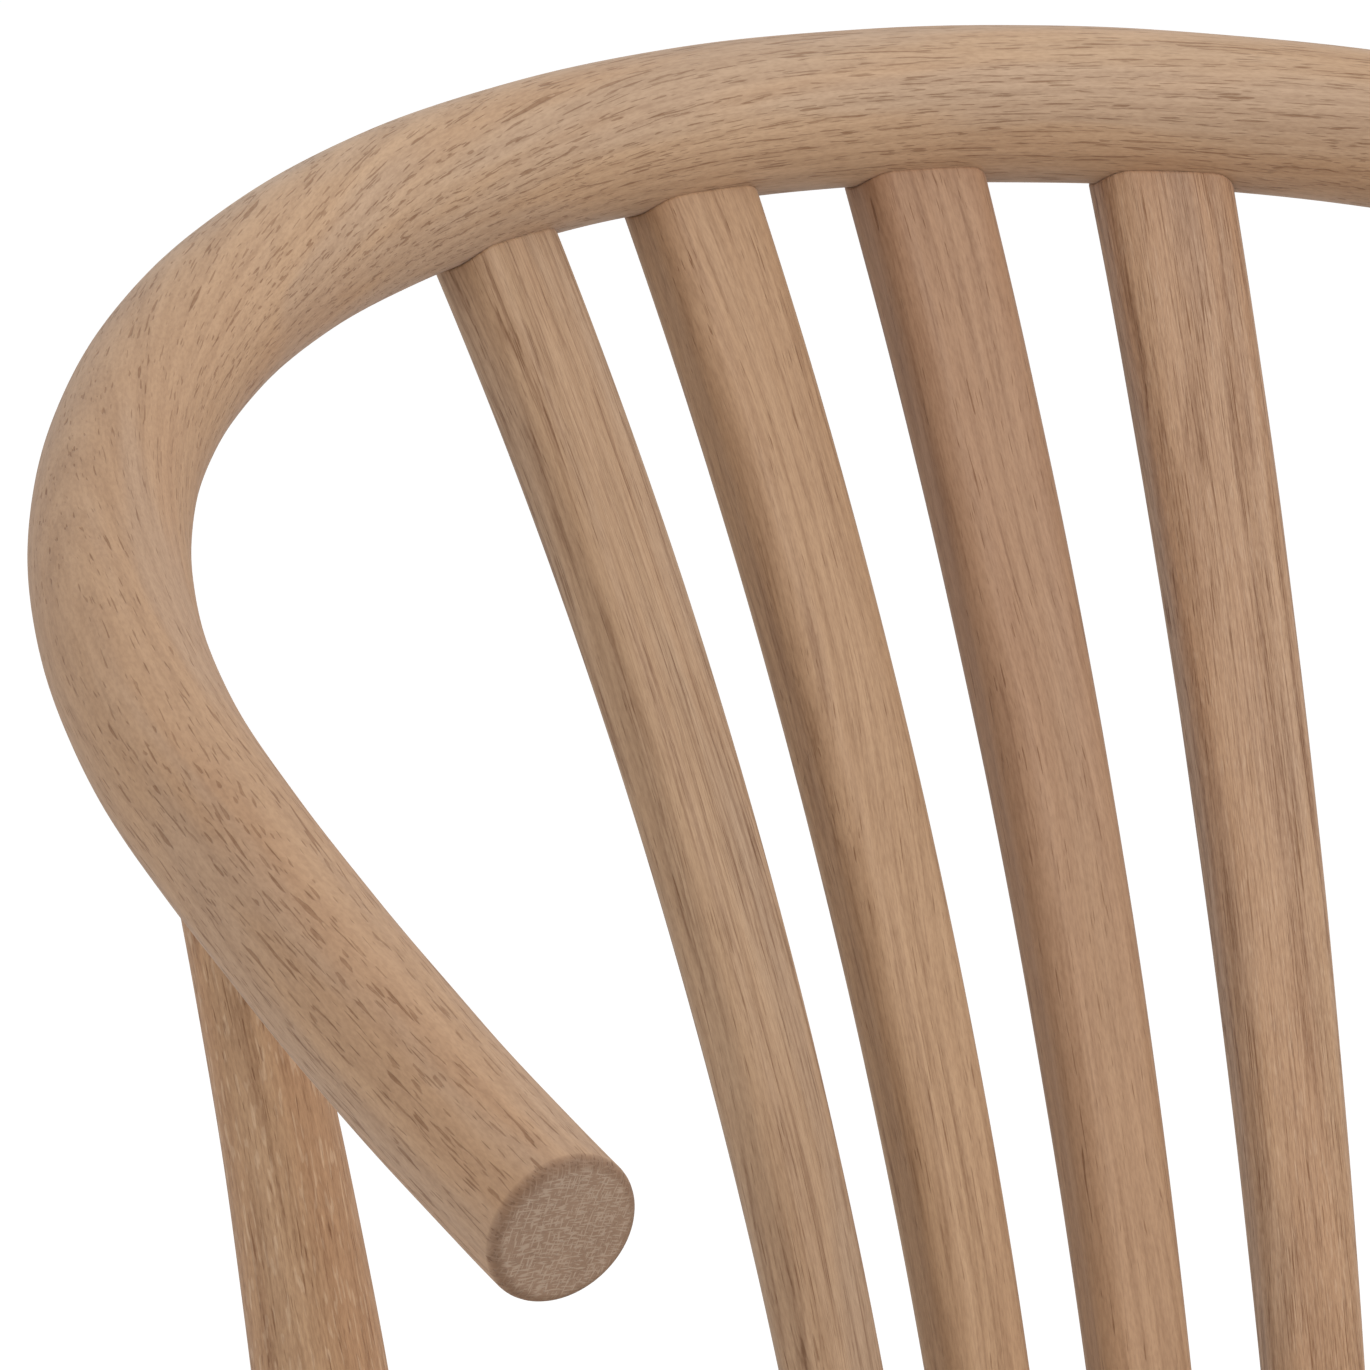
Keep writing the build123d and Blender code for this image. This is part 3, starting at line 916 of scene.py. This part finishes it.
@dataclass
class BackSlats:
    """Four bent, flattened slats that fan down from the rail into the seat."""

    rail: BentRail
    pitch: float = 10.9
    top_width: float = 0.0263
    foot_width: float = 0.0145
    thick: float = 0.0143
    edge_round: float = 0.0053
    bend_radius: float = 0.850
    top_lean: float = 30.2
    set_back: float = 0.0032
    lip: float = 0.0007
    around: int = 64
    kinds: tuple[tuple[str, Oak, Blank], ...] = (
        ("right_outer", Oak.SLAT_RIGHT_OUTER, Blank(turn=0.12, from_pith=0.05, aside=0.005, start=2.2)),
        ("right_inner", Oak.SLAT_RIGHT_INNER, Blank(turn=0.5, from_pith=0.10, aside=0.03, start=1.4)),
        ("left_inner", Oak.SLAT_LEFT_INNER, Blank(turn=1.0, from_pith=0.08, aside=0.0, start=0.9)),
        ("left_outer", Oak.SLAT_LEFT_OUTER, Blank(turn=0.15, from_pith=0.06, aside=0.012, start=0.2)))

    def bend(self, index: float) -> Bend:
        """A slat's centreline, square to the rail as seen from above.

        Its angle round the hoop is its place times the pitch. Seen from above, that
        angle's tangent shrinks by the cosine of the rail's tilt.

        Args:
            index: Place in the row, counted from the middle to the left.

        Returns:
            The centreline.
        """
        angle = np.radians(index * self.pitch)
        plan = np.arctan(np.tan(angle) * np.cos(np.radians(self.rail.tilt)))
        outward = row(-np.sin(plan), np.cos(plan), 0.0)
        along = angle * self.rail.hoop_radius
        return Bend(self.rail, along, outward, self.top_lean, self.bend_radius, self.set_back)

    def section(self, width: Array, inset: Array) -> tuple[Array, Array]:
        """A rounded rectangle: flat sides joined by quarter circles, the same share of points on each.

        Args:
            width: Full width at each row.
            inset: How far the outline is drawn in at each row.

        Returns:
            Distances across and through for each row and point.
        """
        count = self.around // 8
        turn = (np.arange(count) + 0.5) / count * QUARTER
        flat = (np.arange(count) + 0.5) / count * 2.0 - 1.0
        radius = (self.edge_round - inset)[:, None]
        half_w = (width / 2.0 - inset)[:, None]
        half_t = (self.thick / 2.0 - inset)[:, None]
        corner_w, corner_t = half_w - radius, half_t - radius
        level_w, level_t = half_w + 0.0 * flat, half_t + 0.0 * flat
        cos, sin = np.cos(turn), np.sin(turn)
        across, through = [], []
        for sign in (1.0, -1.0):
            across += [sign * (corner_w + radius * cos), -sign * flat * corner_w,
                       -sign * (corner_w + radius * sin), -sign * level_w]
            through += [sign * (corner_t + radius * sin), sign * level_t,
                        sign * (corner_t + radius * cos), -sign * flat * corner_t]
        return np.concatenate(across, axis=1), np.concatenate(through, axis=1)

    def skin(self, index: float, name: str, blank: Blank) -> Skin:
        """The rounded section carried along the bend, its width shared out by height.

        Each lengthwise line ends where it touches the rail.

        Args:
            index: Place in the row, counted from the middle to the left.
            name: The piece's name.
            blank: Where its wood lay in the log.

        Returns:
            The slat's surface.
        """
        bend = self.bend(index)
        share, short, inset, guess = bend.rows(130, self.lip)
        height = bend.middle[2] + bend.radius * np.sin(guess) - CHAIR.seat_height
        rise = bend.top[2] - CHAIR.seat_height
        width = self.foot_width + (self.top_width - self.foot_width) * height / rise
        across, through = self.section(width, inset)
        full = self.section(width[-1:], np.zeros(1))
        lean = bend.leans(share, short, (full[0][0], full[1][0]), through[0])
        run, angle = bend.radius * lean, round_angles(self.around)[None, :]
        through = through * (1.0 + slow_waves(run, angle, 0.012, 2.0 + index))
        across = across * (1.0 + slow_waves(run, angle, 0.008, 5.0 + index))
        return bend.skin(name, blank, lean, across, through)

    def make(self) -> None:
        """The four slats, each of its own wood."""
        middle = (len(self.kinds) - 1) / 2.0
        for place, (name, oak, blank) in enumerate(self.kinds):
            skin = self.skin(place - middle, "oak_slat_" + name, blank)
            skin.dress(oak.value, "oak_slats", "back_slat_" + name)


@dataclass
class ArmPosts:
    """Two bent round posts, slimmer at the arm than at the seat."""

    rail: BentRail
    from_tip: float = 0.144
    top_diameter: float = 0.0188
    foot_diameter: float = 0.034
    bend_radius: float = 1.100
    top_lean: float = 15.1
    lip: float = 0.0005
    uneven: float = 0.00012

    def bend(self, side: int) -> Bend:
        """A post's centreline, leaning straight outwards, side -1 on the left."""
        along = -side * (self.rail.reach - self.from_tip)
        return Bend(self.rail, along, side * RIGHT, self.top_lean, self.bend_radius)

    def skin(self, side: int, name: str, blank: Blank) -> Skin:
        """A circle carried along the bend, its radius shared out by the lean.

        Each lengthwise line ends where it touches the rail.

        Args:
            side: -1 on the left and 1 on the right.
            name: The piece's name.
            blank: Where its wood lay in the log.

        Returns:
            The post's surface.
        """
        bend = self.bend(side)
        share, short, inset, guess = bend.rows(110, self.lip)
        angle = round_angles(80)
        cos, sin = np.cos(angle), np.sin(angle)
        low = bend.seat_lean() - self.foot_diameter / 2.0 / bend.radius
        part = (guess - low) / (bend.lean - low)
        plain = (self.foot_diameter + (self.top_diameter - self.foot_diameter) * part) / 2.0
        radius = (plain - inset)[:, None]
        lean = bend.leans(share, short, (plain[-1] * cos, plain[-1] * sin), radius[0] * sin)
        radius = radius + slow_waves(bend.radius * lean, angle[None, :], self.uneven, 4.0 + side)
        return bend.skin(name, blank, lean, radius * cos, radius * sin)

    def make(self) -> None:
        """Both posts."""
        for side, name in SIDES:
            blank = Blank(turn=0.8 * side, from_pith=0.09, aside=0.02, start=4.0 + side)
            skin = self.skin(side, "oak_post_" + name, blank)
            skin.dress(Oak.POST.value, "oak_posts", "arm_post_" + name)


@dataclass
class Seat:
    """A dished seat of three boards, rounded above and bevelled below."""

    slats: BackSlats
    posts: ArmPosts
    width: float = 0.546
    back_width: float = 0.464
    front_width: float = 0.464
    slat_margin: float = 0.021
    front_sag: float = 0.026
    back_sag: float = 0.062
    front_round: float = 0.060
    back_round: float = 0.070
    top_round: float = 0.006
    under_bevel: float = 0.015
    dish_depth: float = 0.011
    dish_reach: float = 0.186
    dish_gap: float = 0.015
    dish_soft: float = 0.025
    joint: float = 0.087
    kinds: tuple[tuple[str, int, Oak, Blank], ...] = (
        ("left", -1, Oak.SEAT_LEFT, Blank(turn=0.05, from_pith=0.14, aside=0.12, start=6.0)),
        ("middle", 0, Oak.SEAT_MIDDLE, Blank(turn=-0.04, from_pith=0.10, aside=0.01, start=7.3)),
        ("right", 1, Oak.SEAT_RIGHT, Blank(turn=0.08, from_pith=0.16, aside=-0.2, start=8.1)))

    @property
    def slat_foot(self) -> float:
        """How far back the middle of the row of slats stands."""
        bend = self.slats.bend(0)
        return float((bend.middle - bend.outward * np.cos(bend.seat_lean()) * bend.radius)[1])

    @property
    def back_y(self) -> float:
        """The seat's back edge, behind the row of slats."""
        return self.slat_foot + self.slat_margin

    def corner(self, one: tuple[Array, float], two: tuple[Array, float], size: float, near: Array) -> Array:
        """Centre of the circle that rounds the corner between two edges.

        It lies its own radius inside both edges, so where two smaller circles cross.

        Args:
            one: Centre and radius of the first edge.
            two: Centre and radius of the second edge.
            size: Radius of the rounding.
            near: The sharp corner.

        Returns:
            The centre.
        """
        (a, ra), (b, rb) = (one[0], one[1] - size), (two[0], two[1] - size)
        apart = np.linalg.norm(b - a)
        run = (ra * ra - rb * rb + apart * apart) / (2.0 * apart)
        side = np.sqrt(ra * ra - run * run)
        way = (b - a) / apart
        both = a + way * run + np.outer([1.0, -1.0], row(-way[1], way[0])) * side
        return both[np.argmin(np.linalg.norm(both - near, axis=1))]

    def edge(self, inset: float) -> Array:
        """The right half of the outline, from the middle of the front to the middle of the back.

        It is five arcs. Drawn in, each keeps its centre and loses the inset from its radius.

        Args:
            inset: How far it is drawn in.

        Returns:
            Points in the plane.
        """
        front_y, back_y = CHAIR.front, self.back_y
        low = row(self.front_width / 2.0, front_y + self.front_sag)
        high = row(self.back_width / 2.0, back_y - self.back_sag)
        post = self.posts.bend(1).top[1]
        front = circle_through(row(0.0, front_y), low, low * row(-1.0, 1.0))
        back = circle_through(row(0.0, back_y), high, high * row(-1.0, 1.0))
        side = circle_through(low, row(self.width / 2.0, (front_y + post) / 2.0), high)
        near = self.corner(front, side, self.front_round, low)
        far = self.corner(side, back, self.back_round, high)

        def heading(centre: Array, to: Array) -> float:
            """Angle from a centre to a point."""
            return float(np.arctan2(*(to - centre)[::-1]))

        parts = []
        for (centre, radius), start, stop, count in (
                (front, -QUARTER, heading(front[0], near), 160),
                ((near, self.front_round), heading(front[0], near), heading(side[0], near), 120),
                (side, heading(side[0], near), heading(side[0], far), 260),
                ((far, self.back_round), heading(side[0], far), heading(back[0], far), 120),
                (back, heading(back[0], far), QUARTER, 160)):
            angle = np.linspace(start, stop, count)
            parts.append(centre + (radius - inset) * np.stack([np.cos(angle), np.sin(angle)], axis=-1))
        return np.concatenate(parts)

    def spaced(self, line: Array, count: int) -> Array:
        """Points evenly spaced along a line of points.

        Args:
            line: The points.
            count: How many are wanted.

        Returns:
            The new points, read off the old ones by distance run.
        """
        run = np.concatenate([[0.0], np.cumsum(np.linalg.norm(np.diff(line, axis=0), axis=1))])
        even = np.linspace(0.0, run[-1], count)
        return np.stack([np.interp(even, run, line[:, 0]), np.interp(even, run, line[:, 1])], axis=-1)

    def ring(self, inset: float, place: int) -> Array:
        """One closed ring of a board: its share of the outline, and straight cuts along the glue joints.

        Args:
            inset: How far the outline is drawn in.
            place: -1 for the left board, 0 for the middle one, 1 for the right one.

        Returns:
            Points in the plane.
        """
        edge = self.edge(inset)
        widest = int(np.argmax(edge[:, 0]))
        x = np.linspace(-self.joint, self.joint, 70)
        front, back = (
            np.stack([x, np.interp(np.abs(x), half[:, 0], half[:, 1])], axis=-1)
            for half in (edge[:widest], edge[:widest:-1]))
        cut = np.linspace(front[-1], back[-1], 82)[1:-1]
        if place == 0:
            return np.concatenate([front, cut, back[::-1], cut[::-1] * row(-1.0, 1.0)])
        outer = np.concatenate([front[-1:], edge[edge[:, 0] > self.joint], back[-1:]])
        return np.concatenate([self.spaced(outer, 200), cut[::-1]]) * row(float(place), 1.0)

    def top(self, x: Array, y: Array) -> Array:
        """Height of the seat's top: flat, less a dish that is a parabola with a softened rim.

        Args:
            x: To the right.
            y: Backwards.

        Returns:
            The height there.
        """
        middle = self.slat_foot - self.slats.thick / 2.0 - self.dish_gap - self.dish_reach
        inside = 1.0 - (x * x + (y - middle) ** 2) / self.dish_reach**2
        drop = self.dish_soft * np.logaddexp(0.0, inside / self.dish_soft)
        return CHAIR.seat_height - self.dish_depth * drop

    def skin(self, name: str, place: int, blank: Blank) -> Skin:
        """Rings from the middle of the underside, out, up the edge and in across the dish.

        Args:
            name: The piece's name.
            place: -1 for the left board, 0 for the middle one, 1 for the right one.
            blank: Where its wood lay in the log.

        Returns:
            The board's surface.
        """
        thick, bevel = CHAIR.seat_thick, self.under_bevel
        turn = np.linspace(0.0, QUARTER, 9)
        inset = np.concatenate([[bevel, 0.0, 0.0], self.top_round * (1.0 - np.cos(turn))])
        level = np.concatenate([
            [0.0, bevel, (bevel + thick) / 2.0], thick - self.top_round * (1.0 - np.sin(turn))])
        sides = np.stack([self.ring(value, place) for value in inset])
        middle = sides[-1].mean(axis=0)
        inwards = np.linspace(1.0, 0.02, 46)[1:, None, None]
        outwards = np.linspace(0.05, 1.0, 14)[:-1, None, None]
        below, above = middle + (sides[0] - middle) * outwards, middle + (sides[-1] - middle) * inwards
        flat = np.concatenate([below, sides, above])
        height = np.concatenate([np.zeros(len(below)), level, np.full(len(above), thick)])[:, None]
        x, y = flat[..., 0], flat[..., 1]
        z = CHAIR.seat_under + height * (self.top(x, y) - CHAIR.seat_under) / thick
        return Skin(name, np.stack([x, y, z], axis=-1), blank.grain(y, x, z - CHAIR.seat_height))

    def make(self) -> None:
        """The three boards."""
        for name, place, oak, blank in self.kinds:
            skin = self.skin("oak_board_" + name, place, blank)
            skin.dress(oak.value, "oak_seat", "seat_board_" + name)


@dataclass
class Turning:
    """A turned bar between two points, its outline one arc through both ends and the belly."""

    start: Array
    end: Array
    start_diameter: float
    belly_diameter: float
    end_diameter: float
    belly_share: float
    chamfer: float = 0.0008
    uneven: float = 0.00012

    @property
    def length(self) -> float:
        """Distance between the ends."""
        return float(np.linalg.norm(self.end - self.start))

    def radius(self, run: Array) -> Array:
        """Radius by distance from the start: the height of the arc's centre plus the height of the circle.

        Args:
            run: Distance from the start.

        Returns:
            The radius there.
        """
        centre, size = circle_through(
            row(0.0, self.start_diameter / 2.0),
            row(self.length * self.belly_share, self.belly_diameter / 2.0),
            row(self.length, self.end_diameter / 2.0))
        return centre[1] + np.sqrt(np.maximum(size * size - (run - centre[0]) ** 2, 0.0))

    def skin(self, name: str, blank: Blank, cuts: tuple[float, float] | None, seed: float) -> Skin:
        """A circle of that radius carried along the axis.

        Args:
            name: The piece's name.
            blank: Where its wood lay in the log.
            cuts: Heights at which the bar is cut level, or None for ends square to its axis.
            seed: Makes its unevenness its own.

        Returns:
            The bar's surface.
        """
        steps, around = 110, 72
        axis = unit(self.end - self.start)
        level, square = square_to(axis)
        angle = round_angles(around)
        spoke = np.cos(angle)[:, None] * level + np.sin(angle)[:, None] * square
        low, high = np.zeros(around), np.full(around, self.length)
        if cuts is not None:
            for _ in range(6):
                low = (cuts[0] - self.start[2] - self.radius(low) * spoke[:, 2]) / axis[2]
                high = (cuts[1] - self.start[2] - self.radius(high) * spoke[:, 2]) / axis[2]
        share = np.concatenate([[0.0], np.linspace(0.0, 1.0, steps), [1.0]])[:, None]
        inwards = np.concatenate([[0.0], np.linspace(self.chamfer, -self.chamfer, steps), [0.0]])[:, None]
        ends = np.zeros((steps + 2, 1))
        ends[[0, -1]] = 1.0
        run = low + (high - low) * share + inwards
        waves = slow_waves(run, angle[None, :], self.uneven, seed) * (1.0 - ends)
        radius = self.radius(run) - ends * self.chamfer + waves
        points = self.start + run[..., None] * axis + radius[..., None] * spoke
        if cuts is not None:
            points[0, :, 2], points[-1, :, 2] = cuts
        grain = blank.grain(run, radius * np.cos(angle), radius * np.sin(angle))
        return Skin(name, points, grain, ends)


class Row(Enum):
    """The front and the back pair of legs."""

    FRONT = "front"
    BACK = "back"


@dataclass
class Legs:
    """Four splayed, turned legs."""

    seat: Seat
    top_diameter: float = 0.027
    belly_diameter: float = 0.035
    foot_diameter: float = 0.023
    belly_share: float = 0.62
    front_side_inset: float = 0.083
    front_inset: float = 0.078
    front_splay: float = 0.044
    front_rake: float = 0.048
    back_side_inset: float = 0.074
    back_inset: float = 0.075
    back_splay: float = 0.052
    back_rake: float = 0.112
    glide: float = 0.004

    def ends(self, side: int, pair: Row) -> tuple[Array, Array]:
        """Where a leg's axis meets the floor and the underside of the seat.

        Args:
            side: -1 on the left and 1 on the right.
            pair: Front or back.

        Returns:
            Both points.
        """
        if pair is Row.FRONT:
            x, y = self.seat.width / 2.0 - self.front_side_inset, CHAIR.front + self.front_inset
            splay, rake = self.front_splay, -self.front_rake
        else:
            x, y = self.seat.back_width / 2.0 - self.back_side_inset, self.seat.back_y - self.back_inset
            splay, rake = self.back_splay, self.back_rake
        return row(side * (x + splay), y + rake, 0.0), row(side * x, y, CHAIR.seat_under)

    def at(self, side: int, pair: Row, height: float) -> Array:
        """The leg's axis at a height."""
        foot, top = self.ends(side, pair)
        return foot + (top - foot) * height / CHAIR.seat_under

    def make(self) -> None:
        """The four legs, cut level at the glides and under the seat."""
        diameters = (self.foot_diameter, self.belly_diameter, self.top_diameter)
        for pair, first_seed in ((Row.FRONT, 10.0), (Row.BACK, 15.0)):
            for side, name in SIDES:
                seed = first_seed + 3.0 * side
                blank = Blank(turn=0.4 * seed, from_pith=0.08, aside=0.01 * side, start=seed)
                turning = Turning(*self.ends(side, pair), *diameters, self.belly_share)
                cuts = (self.glide, CHAIR.seat_under)
                skin = turning.skin(f"oak_{pair.value}_leg_{name}", blank, cuts, seed)
                skin.dress(Oak.LEG.value, "oak_legs", f"{pair.value}_leg_{name}")


@dataclass
class Stretchers:
    """Two side stretchers between the legs, and one across between them."""

    legs: Legs
    height: float = 0.196
    diameter: float = 0.023
    end_diameter: float = 0.015
    cross_diameter: float = 0.021
    cross_end_diameter: float = 0.013
    from_axis: float = 0.006

    def bar(self, start: Array, end: Array, end_diameter: float, diameter: float) -> Turning:
        """What shows of a stretcher between two axes, its ends sunk into what holds it."""
        along = unit(end - start) * self.from_axis
        return Turning(start + along, end - along, end_diameter, diameter, end_diameter, 0.5)

    def make(self) -> None:
        """The three stretchers."""
        middles = []
        for side, name in SIDES:
            front, back = (self.legs.at(side, pair, self.height) for pair in (Row.FRONT, Row.BACK))
            middles.append((front + back) / 2.0)
            blank = Blank(turn=0.7 * side, from_pith=0.08, aside=0.0, start=12.0 + side)
            turning = self.bar(front, back, self.end_diameter, self.diameter)
            skin = turning.skin("oak_side_stretcher_" + name, blank, None, 20.0 + side)
            skin.dress(Oak.LEG.value, "oak_legs", "side_stretcher_" + name)
        blank = Blank(turn=1.3, from_pith=0.07, aside=0.01, start=15.0)
        turning = self.bar(middles[0], middles[1], self.cross_end_diameter, self.cross_diameter)
        skin = turning.skin("oak_cross_stretcher", blank, None, 23.0)
        skin.dress(Oak.LEG.value, "oak_legs", "cross_stretcher")


@dataclass
class SmallParts:
    """The dowels inside the seat and the glides under the feet, which keep their CAD shape."""

    finishes: tuple[tuple[str, PlainFinish], ...] = (("seat_dowels", BEECH), ("foot_glides", NYLON))

    def make(self) -> None:
        """Gives each node its finish."""
        for name, finish in self.finishes:
            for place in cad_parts[name].material_slots:
                place.material = finish.material()
            log.info("%s: kept, %s", name, finish.name)


@dataclass(frozen=True)
class Softbox:
    """A square soft light.

    It hangs off its aim, by some metres to the camera's right, back to the camera,
    and along the scene's own axes.
    """

    name: str
    aim: Triple
    right: float
    back: float
    offset: Triple
    size: float
    watts: float

    def make(self, right: Array, back: Array) -> None:
        """Hangs the light and turns it to its aim.

        Args:
            right: The camera's right.
            back: The way back to the camera.
        """
        aim = row(*self.aim)
        place = aim + right * self.right + back * self.back + row(*self.offset)
        data = bpy.data.lights.new(self.name, "AREA")
        data.size = self.size
        data.energy = self.watts
        light = bpy.data.objects.new(self.name, data)
        light.location = place.tolist()
        light.rotation_mode = "QUATERNION"
        light.rotation_quaternion = Vector((aim - place).tolist()).to_track_quat("-Z", "Y")
        bpy.context.scene.collection.objects.link(light)


@dataclass
class Studio:
    """A pale floor, soft light and the photograph's camera."""

    rail: BentRail
    azimuth: float = -34.5
    elevation: float = 9.16
    distance: float = 6.0
    focal_pixels: float = 32384.0
    picture: float = 1370.0
    sensor: float = 36.0
    left_of_crest: float = 0.0189
    under_crest: float = 0.1059
    floor_half: float = 45.0
    floor_lift: float = 0.55
    surround: float = 0.67
    softboxes: tuple[Softbox, ...] = (
        Softbox("key softbox", (0.0, 0.0, 0.6), 2.0, 1.4, (0.0, 0.0, 1.75), 1.6, 39.0),
        Softbox("top softbox", (0.0, 0.0, 0.6), 0.0, 0.0, (0.0, 0.4, 2.6), 2.0, 8.0),
        Softbox("low left softbox", (-0.2, 0.0, 0.65), -1.2, 1.0, (0.0, 0.0, -0.45), 1.0, 4.8))

    def axes(self) -> tuple[Array, Array, Array]:
        """The camera's directions, from its two angles.

        Returns:
            Its right, its up, and the way back to it from the chair.
        """
        a, e = np.radians(-self.azimuth), np.radians(self.elevation)
        right = row(np.cos(a), -np.sin(a), 0.0)
        up = row(np.sin(a) * np.sin(e), np.cos(a) * np.sin(e), np.cos(e))
        return right, up, np.cross(right, up)

    def camera(self) -> None:
        """Places the camera so that the crest falls where the photograph has it."""
        right, up, back = self.axes()
        aside = right * self.left_of_crest + up * self.under_crest
        place = self.rail.crest + back * self.distance - aside
        data = bpy.data.cameras.new("camera")
        data.sensor_width = self.sensor
        data.lens = self.focal_pixels / self.picture * self.sensor
        data.clip_start, data.clip_end = 0.05, 120.0
        camera = bpy.data.objects.new("camera", data)
        turn = Matrix(np.stack([right, up, back], axis=-1).tolist()).to_4x4()
        camera.matrix_world = Matrix.Translation(Vector(place.tolist())) @ turn
        bpy.context.scene.collection.objects.link(camera)
        bpy.context.scene.camera = camera

    def floor(self) -> None:
        """A wide pale floor, seen a little brighter than it lights the chair, and clear from below."""
        mesh = bpy.data.meshes.new("floor")
        half = self.floor_half
        corners = [(-half, -half, 0.0), (half, -half, 0.0), (half, half, 0.0), (-half, half, 0.0)]
        mesh.from_pydata(corners, [], [(0, 1, 2, 3)])
        desk = Desk("pale floor")
        tone = desk.noise(desk.node("TexCoord").outputs["Object"], (3.0, 3.0, 3.0), 2.0)
        seen = desk.node("LightPath").outputs["Is Camera Ray"]
        desk.feed(desk.shader, {
            "Base Color": desk.blend(tone, (0.69, 0.69, 0.69), (0.71, 0.71, 0.71)),
            "Roughness": 0.9,
            "Specular IOR Level": 0.0,
            "Emission Color": (1.0, 1.0, 1.0),
            "Emission Strength": desk.times(seen, self.floor_lift)})
        desk.clear_from_below()
        mesh.materials.append(desk.material)
        piece = bpy.data.objects.new("floor", mesh)
        bpy.context.scene.collection.objects.link(piece)

    def world(self) -> None:
        """An even white surround."""
        world = bpy.data.worlds.new("white surround")
        world.use_nodes = True
        back = world.node_tree.nodes["Background"]
        back.inputs["Color"].default_value = (1.0, 1.0, 1.0, 1.0)
        back.inputs["Strength"].default_value = self.surround
        bpy.context.scene.world = world
        bpy.context.scene.view_settings.view_transform = "Standard"

    def make(self) -> None:
        """Sets up the whole studio."""
        self.camera()
        self.floor()
        self.world()
        right, _, back = self.axes()
        for softbox in self.softboxes:
            softbox.make(right, back)


def main() -> None:
    """Builds the chair piece by piece, then the studio."""
    logging.basicConfig(level=logging.INFO, format="%(name)s %(message)s")
    rail = BentRail()
    slats = BackSlats(rail)
    posts = ArmPosts(rail)
    seat = Seat(slats, posts)
    legs = Legs(seat)
    for group in (rail, slats, posts, seat, legs, Stretchers(legs), SmallParts(), Studio(rail)):
        group.make()


if __name__ == "__main__":
    main()
